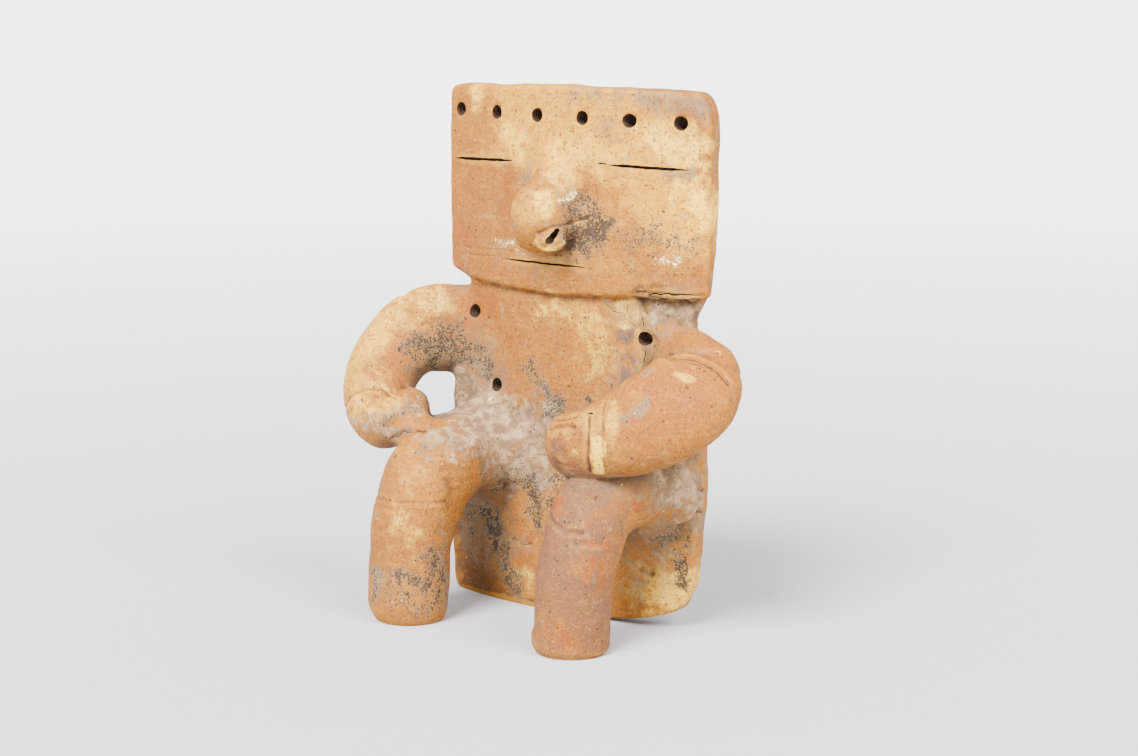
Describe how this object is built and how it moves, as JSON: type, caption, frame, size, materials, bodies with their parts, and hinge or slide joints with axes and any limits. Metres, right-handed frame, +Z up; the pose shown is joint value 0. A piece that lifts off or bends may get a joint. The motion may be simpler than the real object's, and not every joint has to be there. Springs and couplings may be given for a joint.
{
  "type": "seated clay slab figure",
  "caption": "Seated figure of fired clay: a bent slab is head and body, with a hooked nose, cut slits for eyes and mouth, a row of holes under its top edge, and rolled limbs.",
  "frame": {"origin": "middle of the flat contact strip under the slab's lower edge, on the ground", "axes": "+Z up, along the slab's height; the figure faces -Y; +X is on the right for someone facing it"},
  "size_m": [0.2097, 0.0874, 0.2432],
  "materials": {
    "fired_clay": "matt fired clay, buff to orange, with grey fire clouds and dark speckles"
  },
  "bodies": {
    "root": {"slab_figure": "fired_clay"}
  },
  "joints": []
}
